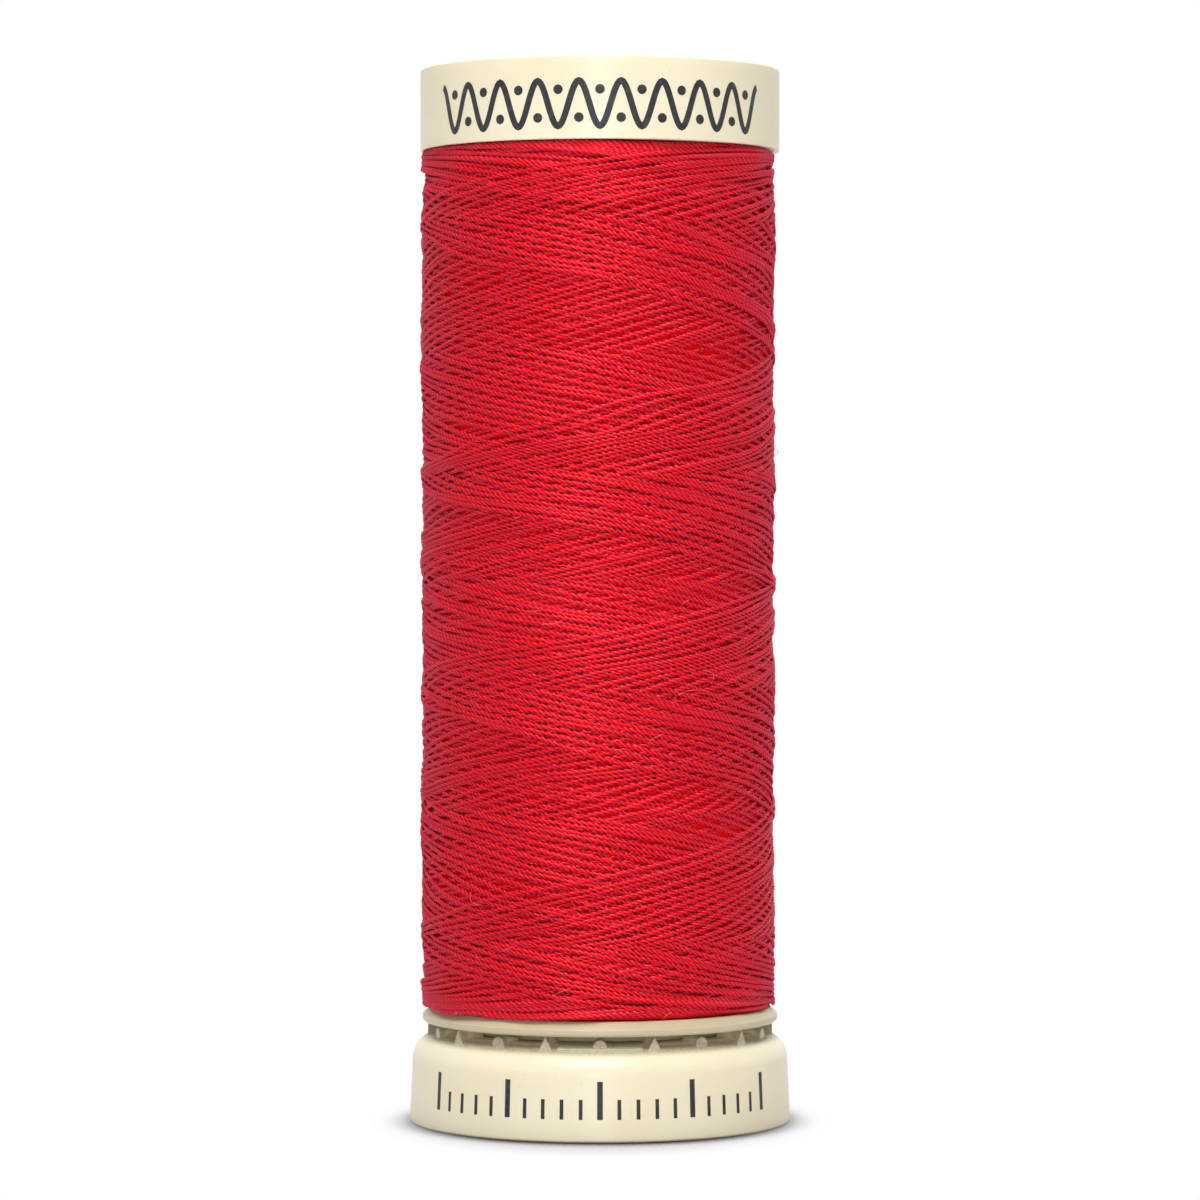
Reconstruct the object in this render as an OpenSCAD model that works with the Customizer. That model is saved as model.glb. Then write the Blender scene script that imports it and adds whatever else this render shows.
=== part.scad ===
// Spool of sewing thread with a snap foot.
//
// A moulded core tube carries the winding between two flanges. A head cap is pressed on
// its upper end. A toothed foot slides on its lower end: pulled out it opens a gap that
// takes the loose end of the thread, and pressed home it grips that end.
//
// Millimetres, +Z up. The origin is the centre of the face that the foot stands on, and
// the Z axis is the axis of the spool, with the foot pressed home.

/* [Winding] */
// Thickness of the winding on the tube
winding_t = 2.1; // [1.8:0.05:3]
// Length of the winding between the flanges
winding_len = 48.8; // [30:0.1:90]
// There-and-back passes shown in the outer layer
pass_pairs = 3; // [1:1:3]
// Turns that a pass makes, short of the step to its neighbour
turns_per_pass = 4; // [2:1:4]
// Width of the band of strands that a pass lays side by side
band_w = 2.8; // [1:0.1:2.8]
// Thickness of the band
band_t = 0.4; // [0.3:0.05:0.5]

/* [Core tube] */
// Outer diameter of the tube under the winding
tube_d = 16; // [13.5:0.1:20]
// Wall of the tube
tube_wall = 1.2; // [1.1:0.05:1.6]
// How far the lower flange stands out past the winding
flange_out = 0.05; // [0:0.05:0.3]
// Thickness of the lower flange
flange_t = 0.82; // [0.6:0.02:1.4]
// Height of the bevel round the top of the lower flange
flange_bevel = 0.45; // [0.1:0.05:0.5]
// Thickness of the upper flange, inside the head cap
upper_flange_t = 0.6; // [0.4:0.05:1.2]

/* [Head cap] */
// How far the head cap stands out past the winding
cap_out = 0.15; // [0.05:0.05:1.5]
// Height of the head cap
cap_h = 4.6; // [3.6:0.1:9]
// Wall of the cap's skirt
cap_wall = 0.9; // [0.7:0.05:1.2]
// Thickness of the cap's top
cap_top_t = 1; // [0.8:0.05:1.6]
// Rounding of the cap's edges
cap_edge_r = 0.1; // [0.1:0.05:0.35]
// Depth of the plug below the top end of the tube
plug_len = 7; // [3:0.1:12]
// Wall of the plug
plug_wall = 1; // [0.8:0.05:1.3]
// Height of the collar round the pin hole
collar_h = 3; // [2:0.1:3.5]

/* [Foot] */
// How far the foot's standing edge lies outside the winding
foot_out = 0.8; // [0.6:0.05:1.5]
// Height of the deck that carries the teeth
deck_z = 5.28; // [4.6:0.05:9]
// How far the level part of the deck stays inside the winding
deck_in = 0.95; // [0.7:0.05:1.1]
// Draft of the foot's wall, in degrees
foot_draft = 2.7; // [0.5:0.1:4]
// Slope of the deck outside its level part, in degrees
deck_slope = 25; // [18:1:30]
// Rounding of the foot's shoulder
shoulder_r = 1.5; // [0.6:0.1:1.6]
// Rounding of the foot's standing edge
foot_edge_r = 0.15; // [0.05:0.05:0.3]
// Wall of the foot
foot_wall = 1; // [0.8:0.05:1.3]
// Thickness of the ribs under the deck
rib_t = 0.8; // [0.5:0.05:1.2]
// Number of ribs under the deck
rib_count = 6; // [3:1:12]
// Height of the hub and the ribs above the standing face
hub_lift = 0.4; // [0.2:0.05:1]
// Wall of the hub round the pin hole
hub_wall = 1.2; // [0.8:0.05:1.6]

/* [Teeth] */
// Pairs of teeth round the deck, each one pointed and one round
tooth_pairs = 10; // [6:1:12]
// Width of a tooth where it leaves the deck
tooth_w = 0.75; // [0.5:0.05:0.9]
// How far the pointed teeth reach out past the level part of the deck
tooth_out = 0.7; // [0.4:0.05:0.7]
// Length of the pointed teeth, along the radius
tooth_len = 1.6; // [0.9:0.05:1.6]
// How far the round teeth stay short of the pointed ones, in height and at their outer end
tooth_step = 0.17; // [0.1:0.01:0.2]
// Width of the raised land at the front of the deck, in degrees
land_angle = 28; // [10:1:32]
// Height of the raised land over the slope of the deck
land_h = 0.14; // [0.05:0.01:0.2]

/* [Snap fit] */
// Travel of the foot from pressed home to open
travel = 2.5; // [1:0.1:4]
// Gap between the deck and the flange with the foot pressed home
catch_gap = 0.5; // [0.4:0.05:0.8]
// Height of the sleeve above the deck
sleeve_h = 9; // [7:0.1:14]
// Wall of the sleeve
sleeve_wall = 1; // [0.8:0.05:1.3]
// How far the snap bead stands out of the sleeve
bead_out = 0.45; // [0.3:0.05:0.55]
// Height of the snap bead
bead_h = 1.3; // [1.2:0.05:2]
// Number of slots that divide the sleeve into fingers
finger_count = 4; // [3:1:6]
// Width of a slot
slot_w = 1.2; // [0.6:0.1:2]
// Height of the whole ring below the slots
slot_lift = 2; // [1:0.1:4]

/* [Fits] */
// Diameter of the hole for the spool pin
pin_hole_d = 7; // [6:0.1:8]
// Bevel at the mouths of the pin hole
mouth_bevel = 0.3; // [0.1:0.05:0.5]
// Radial running clearance of the sleeve in the tube
slide_gap = 0.1; // [0.05:0.01:0.15]
// Clearance where the foot and the tube meet at either end of the travel
stop_gap = 0.05; // [0.03:0.01:0.1]
// Clearance of faces that are pressed or wound together
seat_gap = 0.02; // [0.01:0.01:0.05]
// Radial gap between passes of the outer layer where they cross
cross_gap = 0.52; // [0.5:0.02:0.6]

/* [Hidden] */

$fn = 96;
cream = [0.98, 0.96, 0.84];
red = [0.86, 0.08, 0.14];
arc_steps = 8;
front = -90;

// Heights of the stack, from the standing face up
flange_z = deck_z + catch_gap;
winding_z = flange_z + flange_t;
cap_z = winding_z + winding_len;
top_z = cap_z + cap_h;
tube_foot_z = deck_z + stop_gap;
tube_top_z = top_z - cap_top_t - seat_gap;

// Radii of the winding, of the pieces that end it and of the foot
tube_r = tube_d / 2;
winding_r = tube_r + winding_t;
flange_r = winding_r + flange_out;
cap_r = winding_r + cap_out;
foot_r = winding_r + foot_out;
deck_r = winding_r - deck_in;

// Radii of what slides or is pressed into the tube
bore_r = tube_r - tube_wall;
pin_r = pin_hole_d / 2;
sleeve_r = bore_r - slide_gap;
bead_r = sleeve_r + bead_out;
groove_r = bead_r + slide_gap;
plug_r = bore_r - seat_gap;

// The snap bead and the groove that it travels in
bead_top = deck_z + sleeve_h;
bead_foot = bead_top - bead_h;
groove_foot = bead_foot - travel - stop_gap;
groove_top = bead_top + stop_gap;

// The outer layer of the winding: one flat band that climbs low and comes back high,
// in passes that cross at the angle of the real winding
sides = 6;
rings = 24;
high_r = winding_r - band_t / 2;
low_r = high_r - band_t - cross_gap;
inner_layers_r = low_r * cos(180 / rings) - band_t / 2 - 2 * seat_gap;
passes = 2 * pass_pairs;
pass_turns = turns_per_pass - 1 / passes;
turns = passes * pass_turns;
turn_round = 0.06;
layer_step = 0.045;
low_z = winding_z + band_w / 2 + seat_gap;
high_z = cap_z - band_w / 2 - seat_gap;
lead = (high_z - low_z) / (pass_turns - turn_round);
climb = atan(lead / (360 * low_r * PI / 180));

// Points of an arc of radius r that rounds the corner b between a and c
function rounded(a, b, c, r) =
    let (u = (a - b) / norm(a - b))
    let (v = (c - b) / norm(c - b))
    let (half = acos(u * v) / 2)
    let (middle = b + (u + v) / norm(u + v) * r / sin(half))
    let (from = b + u * r / tan(half) - middle)
    let (to = b + v * r / tan(half) - middle)
    let (sweep = 180 - 2 * half)
    [for (i = [0 : arc_steps])
        middle + (from * sin(sweep * (1 - i / arc_steps)) + to * sin(sweep * i / arc_steps)) / sin(sweep)];

// Where the foot's drafted wall, set in by `inset`, meets a slope down from (r, z)
function shoulder(inset, r, z) =
    let (lean = tan(foot_draft))
    let (fall = tan(deck_slope))
    let (corner_z = (z - (foot_r - inset - r) * fall) / (1 - lean * fall))
    [foot_r - inset - corner_z * lean, corner_z];

// Height of the deck's slope at a distance from the axis
function slope_z(r) = deck_z - max(r - deck_r, 0) * tan(deck_slope);

// ---- Foot ----

module foot_shell() {
    outer_top = [deck_r, deck_z];
    outer_foot = [foot_r, 0];
    outer_corner = shoulder(0, outer_top.x, outer_top.y);
    inner_top = [deck_r - foot_wall / 2, deck_z - foot_wall];
    inner_foot = [foot_r - foot_wall, 0];
    inner_corner = shoulder(foot_wall, inner_top.x, inner_top.y);
    hub_r = pin_r + hub_wall;
    rotate_extrude()
        polygon(concat(
            rounded(inner_foot, outer_foot, outer_corner, foot_edge_r),
            rounded(outer_foot, outer_corner, outer_top, shoulder_r),
            [outer_top],
            [[pin_r + mouth_bevel, deck_z], [pin_r, deck_z - mouth_bevel]],
            [[pin_r, hub_lift + mouth_bevel], [pin_r + mouth_bevel, hub_lift]],
            [[hub_r, hub_lift], [hub_r, deck_z - foot_wall]],
            [inner_top],
            rounded(inner_top, inner_corner, inner_foot, shoulder_r / 3),
            [inner_foot]));
}

// Ribs from the hub to the wall, joined to the deck above them
module foot_ribs() {
    hub_mid = pin_r + hub_wall / 2;
    wall_mid = foot_r - foot_wall / 2 - deck_z * tan(foot_draft);
    rib_foot = 2 * hub_lift;
    deck_mid = deck_z - foot_wall / 2;
    for (i = [0 : rib_count - 1])
        rotate([0, 0, (i + 0.5) * 360 / rib_count])
            translate([0, rib_t / 2, 0])
                rotate([90, 0, 0])
                    linear_extrude(height = rib_t)
                        polygon([
                            [hub_mid, rib_foot], [wall_mid, rib_foot],
                            [wall_mid, slope_z(wall_mid) - foot_wall], [deck_r, deck_mid], [hub_mid, deck_mid]]);
}

// A tooth lies along +X, from `inner` to `outer`, with its root sunk in the deck
module tooth_bar(inner, outer) {
    translate([inner, 0, 0])
        rotate([90, 0, 90])
            linear_extrude(height = outer - inner)
                children();
}

module pointed_tooth() {
    outer = deck_r + tooth_out;
    root_z = slope_z(outer);
    sunk_z = root_z - foot_wall / 4;
    tip_z = flange_z - stop_gap;
    tooth_bar(outer - tooth_len, outer)
        polygon([
            [-tooth_w / 2, sunk_z], [tooth_w / 2, sunk_z], [tooth_w / 2, root_z],
            [0, tip_z], [-tooth_w / 2, root_z]]);
}

module round_tooth() {
    outer = deck_r + tooth_out;
    sunk_z = slope_z(outer) - foot_wall / 4;
    crown_z = flange_z - stop_gap - tooth_step - tooth_w / 2;
    tooth_bar(outer - tooth_len, outer - tooth_step) {
        translate([-tooth_w / 2, sunk_z])
            square([tooth_w, crown_z - sunk_z]);
        translate([0, crown_z])
            circle(d = tooth_w, $fn = 32);
    }
}

module teeth() {
    step = 180 / tooth_pairs;
    for (i = [0 : tooth_pairs - 1]) {
        rotate([0, 0, front + 2 * i * step])
            round_tooth();
        rotate([0, 0, front + (2 * i + 1) * step])
            pointed_tooth();
    }
}

// A low land on the slope between the two front teeth, level with the deck
module front_land() {
    brink = deck_r + land_h / tan(deck_slope);
    outer = deck_r + tooth_out;
    sunk = foot_wall / 2;
    rotate([0, 0, front - land_angle / 2])
        rotate_extrude(angle = land_angle)
            polygon([
                [deck_r - sunk, deck_z - sunk], [outer, slope_z(outer) - sunk / 2],
                [outer, slope_z(outer) + land_h], [brink, deck_z], [deck_r - sunk, deck_z]]);
}

module snap_sleeve() {
    difference() {
        rotate_extrude()
            polygon([
                [sleeve_r - sleeve_wall, deck_z - foot_wall / 2], [sleeve_r, deck_z - foot_wall / 2],
                [sleeve_r, bead_foot], [bead_r, bead_foot + bead_out / 2], [bead_r, bead_top - bead_out],
                [sleeve_r, bead_top], [sleeve_r - sleeve_wall, bead_top]]);
        for (i = [0 : finger_count - 1])
            rotate([0, 0, i * 360 / finger_count])
                translate([0, -slot_w / 2, deck_z + slot_lift])
                    cube([2 * bead_r, slot_w, sleeve_h]);
    }
}

module snap_foot() {
    color(cream) {
        foot_shell();
        foot_ribs();
        teeth();
        front_land();
        snap_sleeve();
    }
}

// ---- Core tube ----

module core_tube() {
    upper_r = cap_r - cap_wall - seat_gap;
    lip = flange_bevel / 4;
    color(cream)
        difference() {
            rotate_extrude()
                polygon([
                    [bore_r, tube_foot_z], [tube_r, tube_foot_z], [tube_r, flange_z],
                    [flange_r - lip, flange_z], [flange_r, flange_z + lip],
                    [flange_r, winding_z - flange_bevel], [flange_r - flange_bevel, winding_z],
                    [tube_r, winding_z], [tube_r, cap_z], [upper_r, cap_z],
                    [upper_r, cap_z + upper_flange_t], [tube_r, cap_z + upper_flange_t],
                    [tube_r, tube_top_z], [bore_r, tube_top_z]]);
            // the groove of the snap bead
            rotate_extrude()
                polygon([
                    [bore_r - tube_wall / 2, groove_foot], [bore_r, groove_foot],
                    [groove_r, groove_foot + bead_out / 2], [groove_r, groove_top - bead_out / 2],
                    [bore_r, groove_top], [bore_r - tube_wall / 2, groove_top]]);
        }
}

// ---- Head cap ----

module head_cap() {
    inside_r = cap_r - cap_wall;
    inside_z = top_z - cap_top_t;
    plug_foot = tube_top_z - plug_len;
    collar_r = pin_r + plug_wall;
    lead_in = plug_wall / 3;
    color(cream)
        rotate_extrude()
            polygon(concat(
                [[inside_r, cap_z]],
                rounded([inside_r, cap_z], [cap_r, cap_z], [cap_r, top_z], cap_edge_r / 2),
                rounded([cap_r, cap_z], [cap_r, top_z], [pin_r, top_z], cap_edge_r),
                [[pin_r + mouth_bevel, top_z], [pin_r, top_z - mouth_bevel]],
                [[pin_r, top_z - collar_h], [collar_r, top_z - collar_h], [collar_r, inside_z]],
                [[plug_r - plug_wall, inside_z], [plug_r - plug_wall, plug_foot]],
                [[plug_r - lead_in, plug_foot], [plug_r, plug_foot + lead_in], [plug_r, inside_z]],
                [[inside_r, inside_z]]));
}

// ---- Thread ----

module thread_inner_layers() {
    color(red)
        translate([0, 0, winding_z + seat_gap])
            rotate_extrude()
                translate([tube_r + seat_gap, 0])
                    square([inner_layers_r - tube_r - seat_gap, winding_len - 2 * seat_gap]);
}

// A point on the winding, from its turn, height and distance from the axis
function wound(turn, z, r) = [r * cos(turn * 360), r * sin(turn * 360), z];

// Turns from the nearest reversal at the foot of the winding, and at its head
function from_foot(turn) = abs(turn - 2 * pass_turns * round(turn / (2 * pass_turns)));
function from_head(turn) = pass_turns - from_foot(turn);

// Height of the band's middle: straight passes, each eased into the next
function eased(u) = u > turn_round ? u : (u * u / turn_round + turn_round) / 2;
function band_z(turn) =
    from_foot(turn) < pass_turns / 2
        ? low_z + lead * (eased(from_foot(turn)) - turn_round / 2)
        : high_z - lead * (eased(from_head(turn)) - turn_round / 2);

// Distance of the band's middle from the axis: low on the way up, high on the way down
function smooth(x) =
    let (k = min(max(x, 0), 1))
    k * k * (3 - 2 * k);
function lifted(turn) =
    let (along = turn - 2 * pass_turns * floor(turn / (2 * pass_turns)))
    let (after_head = along - pass_turns)
    let (after_foot = min(along, 2 * pass_turns - along) * (along < pass_turns ? 1 : -1))
    after_head > -pass_turns / 2 && after_head < pass_turns / 2
        ? smooth((after_head / layer_step + 1) / 2)
        : smooth((1 - after_foot / layer_step) / 2);
function end_drop(turn) = smooth((turns - turn - turn_round) / layer_step);
function band_r(turn) =
    let (up = turn < pass_turns / 2 ? 0 : lifted(turn))
    low_r + (high_r - low_r) * min(up, end_drop(turn));

// Width of the band, which narrows to a single strand at both ends of the winding
taper_from = 0.12;
taper_to = 0.5;
function width_at(turn) =
    let (from_end = min(turn, turns - turn))
    band_t + (band_w - band_t) * smooth((from_end - taper_from) / (taper_to - taper_from));

// An end stands square on the lower flange for the strand's own thickness, and then
// bends over into its pass. `way` is 1 at the start of the winding and -1 at its end.
bend_r = band_w / 2;
bend_steps = 6;
bend_z = winding_z + seat_gap + band_t;
lift_off = (bend_z + bend_r * cos(climb) - low_z) / lead + turn_round / 2;
function end_point(turn, way, step) =
    let (bend = (90 - climb) * step / bend_steps)
    let (along = bend_r * (sin(climb) - cos(bend)))
    wound(turn + way * along / (2 * PI * low_r), bend_z + bend_r * sin(bend), low_r);
function standing_end(turn, way) =
    let (stand = end_point(turn, way, 0))
    concat([[stand.x, stand.y, winding_z + seat_gap]], [for (i = [0 : bend_steps - 1]) end_point(turn, way, i)]);
function reversed(list) = [for (i = [len(list) - 1 : -1 : 0]) list[i]];

// Least gap of the band to itself: at each angle, the outlines of all its turns there
// are compared by pairs, with the flats between the rings allowed for
function outline_gap(rise, apart) =
    rise > 0 ? norm([rise, apart]) : apart - band_t - high_r * (1 - cos(180 / rings));
function least_gap(per_turn) =
    let (first = ceil(lift_off * per_turn))
    let (last = floor((turns - lift_off) * per_turn))
    min([for (i = [first : last - per_turn]) let (a = i / per_turn)
        min([for (j = [i + per_turn : per_turn : last]) let (b = j / per_turn)
            let (rise = abs(band_z(a) - band_z(b)) - (width_at(a) + width_at(b)) / 2 / cos(climb))
            outline_gap(rise, abs(band_r(a) - band_r(b)))])]);

// Ring of points round the band, square to its run
function ring_at(path, widths, i) =
    let (ahead = path[min(i + 1, len(path) - 1)] - path[max(i - 1, 0)])
    let (run = ahead / norm(ahead))
    let (radial = [path[i].x, path[i].y, 0])
    let (level = radial - run * (radial * run))
    let (out = level / norm(level))
    let (across = cross(run, out))
    let (edge = widths[i] / 2)
    let (flat = edge - band_t / 4)
    let (outline = [[0, edge], [1, flat], [1, -flat], [0, -edge], [-1, -flat], [-1, flat]])
    [for (p = outline) path[i] + out * p[0] * band_t / 2 + across * p[1]];

module thread_outer_turns() {
    steps = ceil((turns - 2 * lift_off) * rings);
    pass_at = [for (i = [0 : steps]) lift_off + (turns - 2 * lift_off) * i / steps];
    start = standing_end(lift_off, 1);
    finish = reversed(standing_end(turns - lift_off, -1));
    path = concat(start, [for (turn = pass_at) wound(turn, band_z(turn), band_r(turn))], finish);
    single = [for (p = start) band_t];
    widths = concat(single, [for (turn = pass_at) width_at(turn)], single);
    points = [for (i = [0 : len(path) - 1]) each ring_at(path, widths, i)];
    last = (len(path) - 1) * sides;
    skin = [for (i = [0 : len(path) - 2], k = [0 : sides - 1], half = [0, 1])
        let (a = i * sides + k)
        let (b = i * sides + (k + 1) % sides)
        half == 0 ? [a, b, b + sides] : [a, b + sides, a + sides]];
    end_faces = [for (k = [1 : sides - 2], end = [0, 1])
        end == 0 ? [0, k + 1, k] : [last, last + k, last + k + 1]];
    echo(turns = turns, least_gap = least_gap(8 * rings));
    color(red)
        polyhedron(points = points, faces = concat(skin, end_faces));
}

snap_foot();
core_tube();
head_cap();
thread_inner_layers();
thread_outer_turns();
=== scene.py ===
from math import atan, cos, pi, radians, sin

import bpy
import numpy as np
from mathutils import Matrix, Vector
from mathutils.bvhtree import BVHTree


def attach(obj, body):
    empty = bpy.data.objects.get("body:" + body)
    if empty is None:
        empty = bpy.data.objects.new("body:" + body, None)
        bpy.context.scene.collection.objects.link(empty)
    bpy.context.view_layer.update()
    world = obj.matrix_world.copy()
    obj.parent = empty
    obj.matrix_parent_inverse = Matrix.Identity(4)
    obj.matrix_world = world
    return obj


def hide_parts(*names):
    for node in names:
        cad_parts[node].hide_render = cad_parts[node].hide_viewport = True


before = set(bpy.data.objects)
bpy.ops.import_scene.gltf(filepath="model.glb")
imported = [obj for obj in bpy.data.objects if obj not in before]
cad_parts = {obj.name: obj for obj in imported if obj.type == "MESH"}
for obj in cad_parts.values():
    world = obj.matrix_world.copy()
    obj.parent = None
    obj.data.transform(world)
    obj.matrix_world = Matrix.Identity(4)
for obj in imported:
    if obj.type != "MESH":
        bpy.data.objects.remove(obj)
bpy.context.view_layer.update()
scene = bpy.context.scene
mm = 0.001


def srgb(red, green, blue):
    # a colour as a paint chart gives it, 0 to 255, in the shader's own scale
    chart = np.array([red, green, blue], float) / 255
    linear = np.where(chart <= 0.04045, chart / 12.92, ((chart + 0.055) / 1.055) ** 2.4)
    return (*[float(c) for c in linear], 1.0)


class Nodes:
    # a node tree, with short ways to add what is used most
    def __init__(self, tree):
        self.tree = tree

    def add(self, kind, **settings):
        node = self.tree.nodes.new("ShaderNode" + kind)
        for name, value in settings.items():
            setattr(node, name, value)
        return node

    def link(self, source, target):
        if isinstance(source, (int, float, tuple)):
            target.default_value = source
        else:
            self.tree.links.new(source, target)

    def calc(self, operation, *values):
        node = self.add("Math", operation=operation)
        for value, socket in zip(values, node.inputs):
            self.link(value, socket)
        return node.outputs[0]

    def between(self, value, low, high, newLow=0.0, newHigh=1.0):
        node = self.add("MapRange", interpolation_type="SMOOTHSTEP")
        for v, socket in zip((value, low, high, newLow, newHigh), node.inputs):
            self.link(v, socket)
        return node.outputs[0]

    def mix(self, share, first, second):
        node = self.add("Mix", data_type="RGBA")
        self.link(share, node.inputs[0])
        self.link(first, node.inputs[6])
        self.link(second, node.inputs[7])
        return node.outputs[2]

    def mixShaders(self, share, first, second):
        node = self.add("MixShader")
        for value, socket in zip((share, first, second), node.inputs):
            self.link(value, socket)
        return node.outputs[0]

    def split(self, vector):
        node = self.add("SeparateXYZ")
        self.link(vector, node.inputs[0])
        return node.outputs


# lengths in metres
camera = dict(eye=(0.0, -0.284, 0.0346), aim=(0.0, 0.0, 0.0298), lens=148.9, sensor=36.0,
              nearest=0.01, furthest=10.0)

cam = bpy.data.objects.new("camera", bpy.data.cameras.new("camera"))
scene.collection.objects.link(cam)
cam.location = camera["eye"]
sight = Vector(camera["aim"]) - Vector(camera["eye"])
cam.rotation_euler = sight.to_track_quat("-Z", "Y").to_euler()
cam.data.lens = camera["lens"]
cam.data.sensor_width = camera["sensor"]
cam.data.sensor_fit = "HORIZONTAL"
cam.data.clip_start, cam.data.clip_end = camera["nearest"], camera["furthest"]
scene.camera = cam
scene.view_settings.view_transform = "Standard"

studio = dict(
    roomLevel=0.34, behindLevel=0.75, screenEdge=(0.1, 0.6),
    lampAim=(0, 0, 0.03),
    key=dict(at=(-0.018, -0.225, 0.35), size=(0.13, 0.14), watts=1.04),
    fill=dict(at=(-0.006, -0.42, 0.05), size=(0.05, 0.14), watts=0.3),
    top=dict(at=(0.0, -0.07, 0.47), size=(0.24, 0.18), watts=0.32),
    back=dict(at=(0.04, 0.27, 0.34), size=(0.24, 0.16), watts=0.62),
    floorSize=1.6, paper=(0.70, 0.685, 0.73),
    # the contact colour is painted shade on the paper at the foot's edge, with its reach and the
    # occlusion over which it fades
    contactShade=(0.012, 0.01, 0.012), contactReach=0.0025, contactOpen=(0.5, 1.0),
    shadeNarrow=0.78, plainFrom=0.0087, plainTo=0.0136)


def softbox(name, at, size, watts):
    lamp = bpy.data.lights.new(name, "AREA")
    lamp.shape = "RECTANGLE"
    lamp.size, lamp.size_y = size
    lamp.energy = watts
    box = bpy.data.objects.new(name, lamp)
    scene.collection.objects.link(box)
    box.location = at
    toward = Vector(studio["lampAim"]) - Vector(at)
    box.rotation_euler = toward.to_track_quat("-Z", "Y").to_euler()
    box.visible_camera = False


def seenDirectly(nodes):
    # 1 for rays that show the backdrop itself, straight on or in a reflection
    path = nodes.add("LightPath").outputs
    seen = nodes.calc("MAXIMUM", path["Is Camera Ray"], path["Is Glossy Ray"])
    return nodes.calc("MAXIMUM", seen, path["Is Transmission Ray"])


def lightStudio(s):
    world = bpy.data.worlds.new("studio")
    scene.world = world
    world.use_nodes = True
    nodes = Nodes(world.node_tree)
    nodes.tree.nodes.clear()
    # the screen behind is bright, the room at the sides is dim
    away = nodes.split(nodes.add("TexCoord").outputs["Generated"])["Y"]
    room, backdrop = nodes.add("Background"), nodes.add("Background")
    nodes.link(nodes.between(away, *s["screenEdge"], s["roomLevel"], s["behindLevel"]),
               room.inputs["Strength"])
    nodes.link((1.0, 1.0, 1.0, 1.0), backdrop.inputs["Color"])
    mixed = nodes.mixShaders(seenDirectly(nodes), room.outputs[0], backdrop.outputs[0])
    nodes.link(mixed, nodes.add("OutputWorld").inputs[0])
    for place in ("key", "fill", "top", "back"):
        softbox(place + "Softbox", **s[place])


def floorMaterial(s):
    material = bpy.data.materials.new("white floor")
    material.use_nodes = True
    nodes = Nodes(material.node_tree)
    nodes.tree.nodes.clear()
    # painted contact shade: the paper is painted darker in the crevice where the foot meets it
    crevice = nodes.add("AmbientOcclusion", samples=8)
    nodes.link(s["contactReach"], crevice.inputs["Distance"])
    opened = nodes.between(crevice.outputs["AO"], *s["contactOpen"])
    paper = nodes.add("BsdfDiffuse")
    nodes.link(nodes.mix(opened, (*s["contactShade"], 1), (*s["paper"], 1)), paper.inputs["Color"])
    # plain white where the soft shade has ended
    flat = nodes.add("VectorMath", operation="MULTIPLY")
    nodes.link(nodes.add("NewGeometry").outputs["Position"], flat.inputs[0])
    nodes.link((1, s["shadeNarrow"], 0), flat.inputs[1])
    length = nodes.add("VectorMath", operation="LENGTH")
    nodes.link(flat.outputs[0], length.inputs[0])
    away = nodes.between(length.outputs["Value"], s["plainFrom"], s["plainTo"])
    mixed = nodes.mixShaders(nodes.calc("MULTIPLY", away, seenDirectly(nodes)),
                             paper.outputs[0], nodes.add("Emission").outputs[0])
    nodes.link(mixed, nodes.add("OutputMaterial").inputs[0])
    return material


def layFloor(s):
    half = s["floorSize"] / 2
    mesh = bpy.data.meshes.new("floor")
    mesh.from_pydata([(-half, -half, 0), (half, -half, 0), (half, half, 0), (-half, half, 0)],
                     [], [(0, 1, 2, 3)])
    floor = bpy.data.objects.new("floor", mesh)
    scene.collection.objects.link(floor)
    mesh.materials.append(floorMaterial(s))


lightStudio(studio)
layFloor(studio)
print("studio is set")


class Look(Nodes):
    # a procedural material round one principled shader
    def __init__(self, name, roughness, specular=0.5):
        self.material = bpy.data.materials.new(name)
        self.material.use_nodes = True
        super().__init__(self.material.node_tree)
        self.shader = self.tree.nodes["Principled BSDF"]
        self.give({"Roughness": roughness, "Specular IOR Level": specular})

    def give(self, values):
        for name, value in values.items():
            self.shader.inputs[name].default_value = value

    def place(self, stretch=(1, 1, 1), uv=None):
        # position in millimetres, or on a named pattern map
        if uv:
            start = self.add("UVMap", uv_map=uv).outputs[0]
        else:
            start = self.add("TexCoord").outputs["Object"]
            stretch = [k / mm for k in stretch]
        node = self.add("Mapping")
        node.inputs["Scale"].default_value = stretch
        self.link(start, node.inputs[0])
        return node.outputs[0]

    def pattern(self, stretch, detail=2.0, roughness=0.5, uv=None):
        # soft noise; stretch is how many of its cells fill a millimetre, or a unit of the map
        node = self.add("TexNoise")
        self.link(self.place(stretch, uv), node.inputs["Vector"])
        node.inputs["Scale"].default_value = 1.0
        node.inputs["Detail"].default_value = detail
        node.inputs["Roughness"].default_value = roughness
        return node.outputs[0]

    def bump(self, height, distance, base=None):
        node = self.add("Bump")
        node.inputs["Strength"].default_value = 1.0
        node.inputs["Distance"].default_value = distance * mm
        self.link(height, node.inputs["Height"])
        if base is not None:
            self.link(base, node.inputs["Normal"])
        return node.outputs[0]

    def finish(self, colour, roughness, normal):
        self.link(colour, self.shader.inputs["Base Color"])
        self.link(roughness, self.shader.inputs["Roughness"])
        self.link(normal, self.shader.inputs["Normal"])
        return self.material


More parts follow.
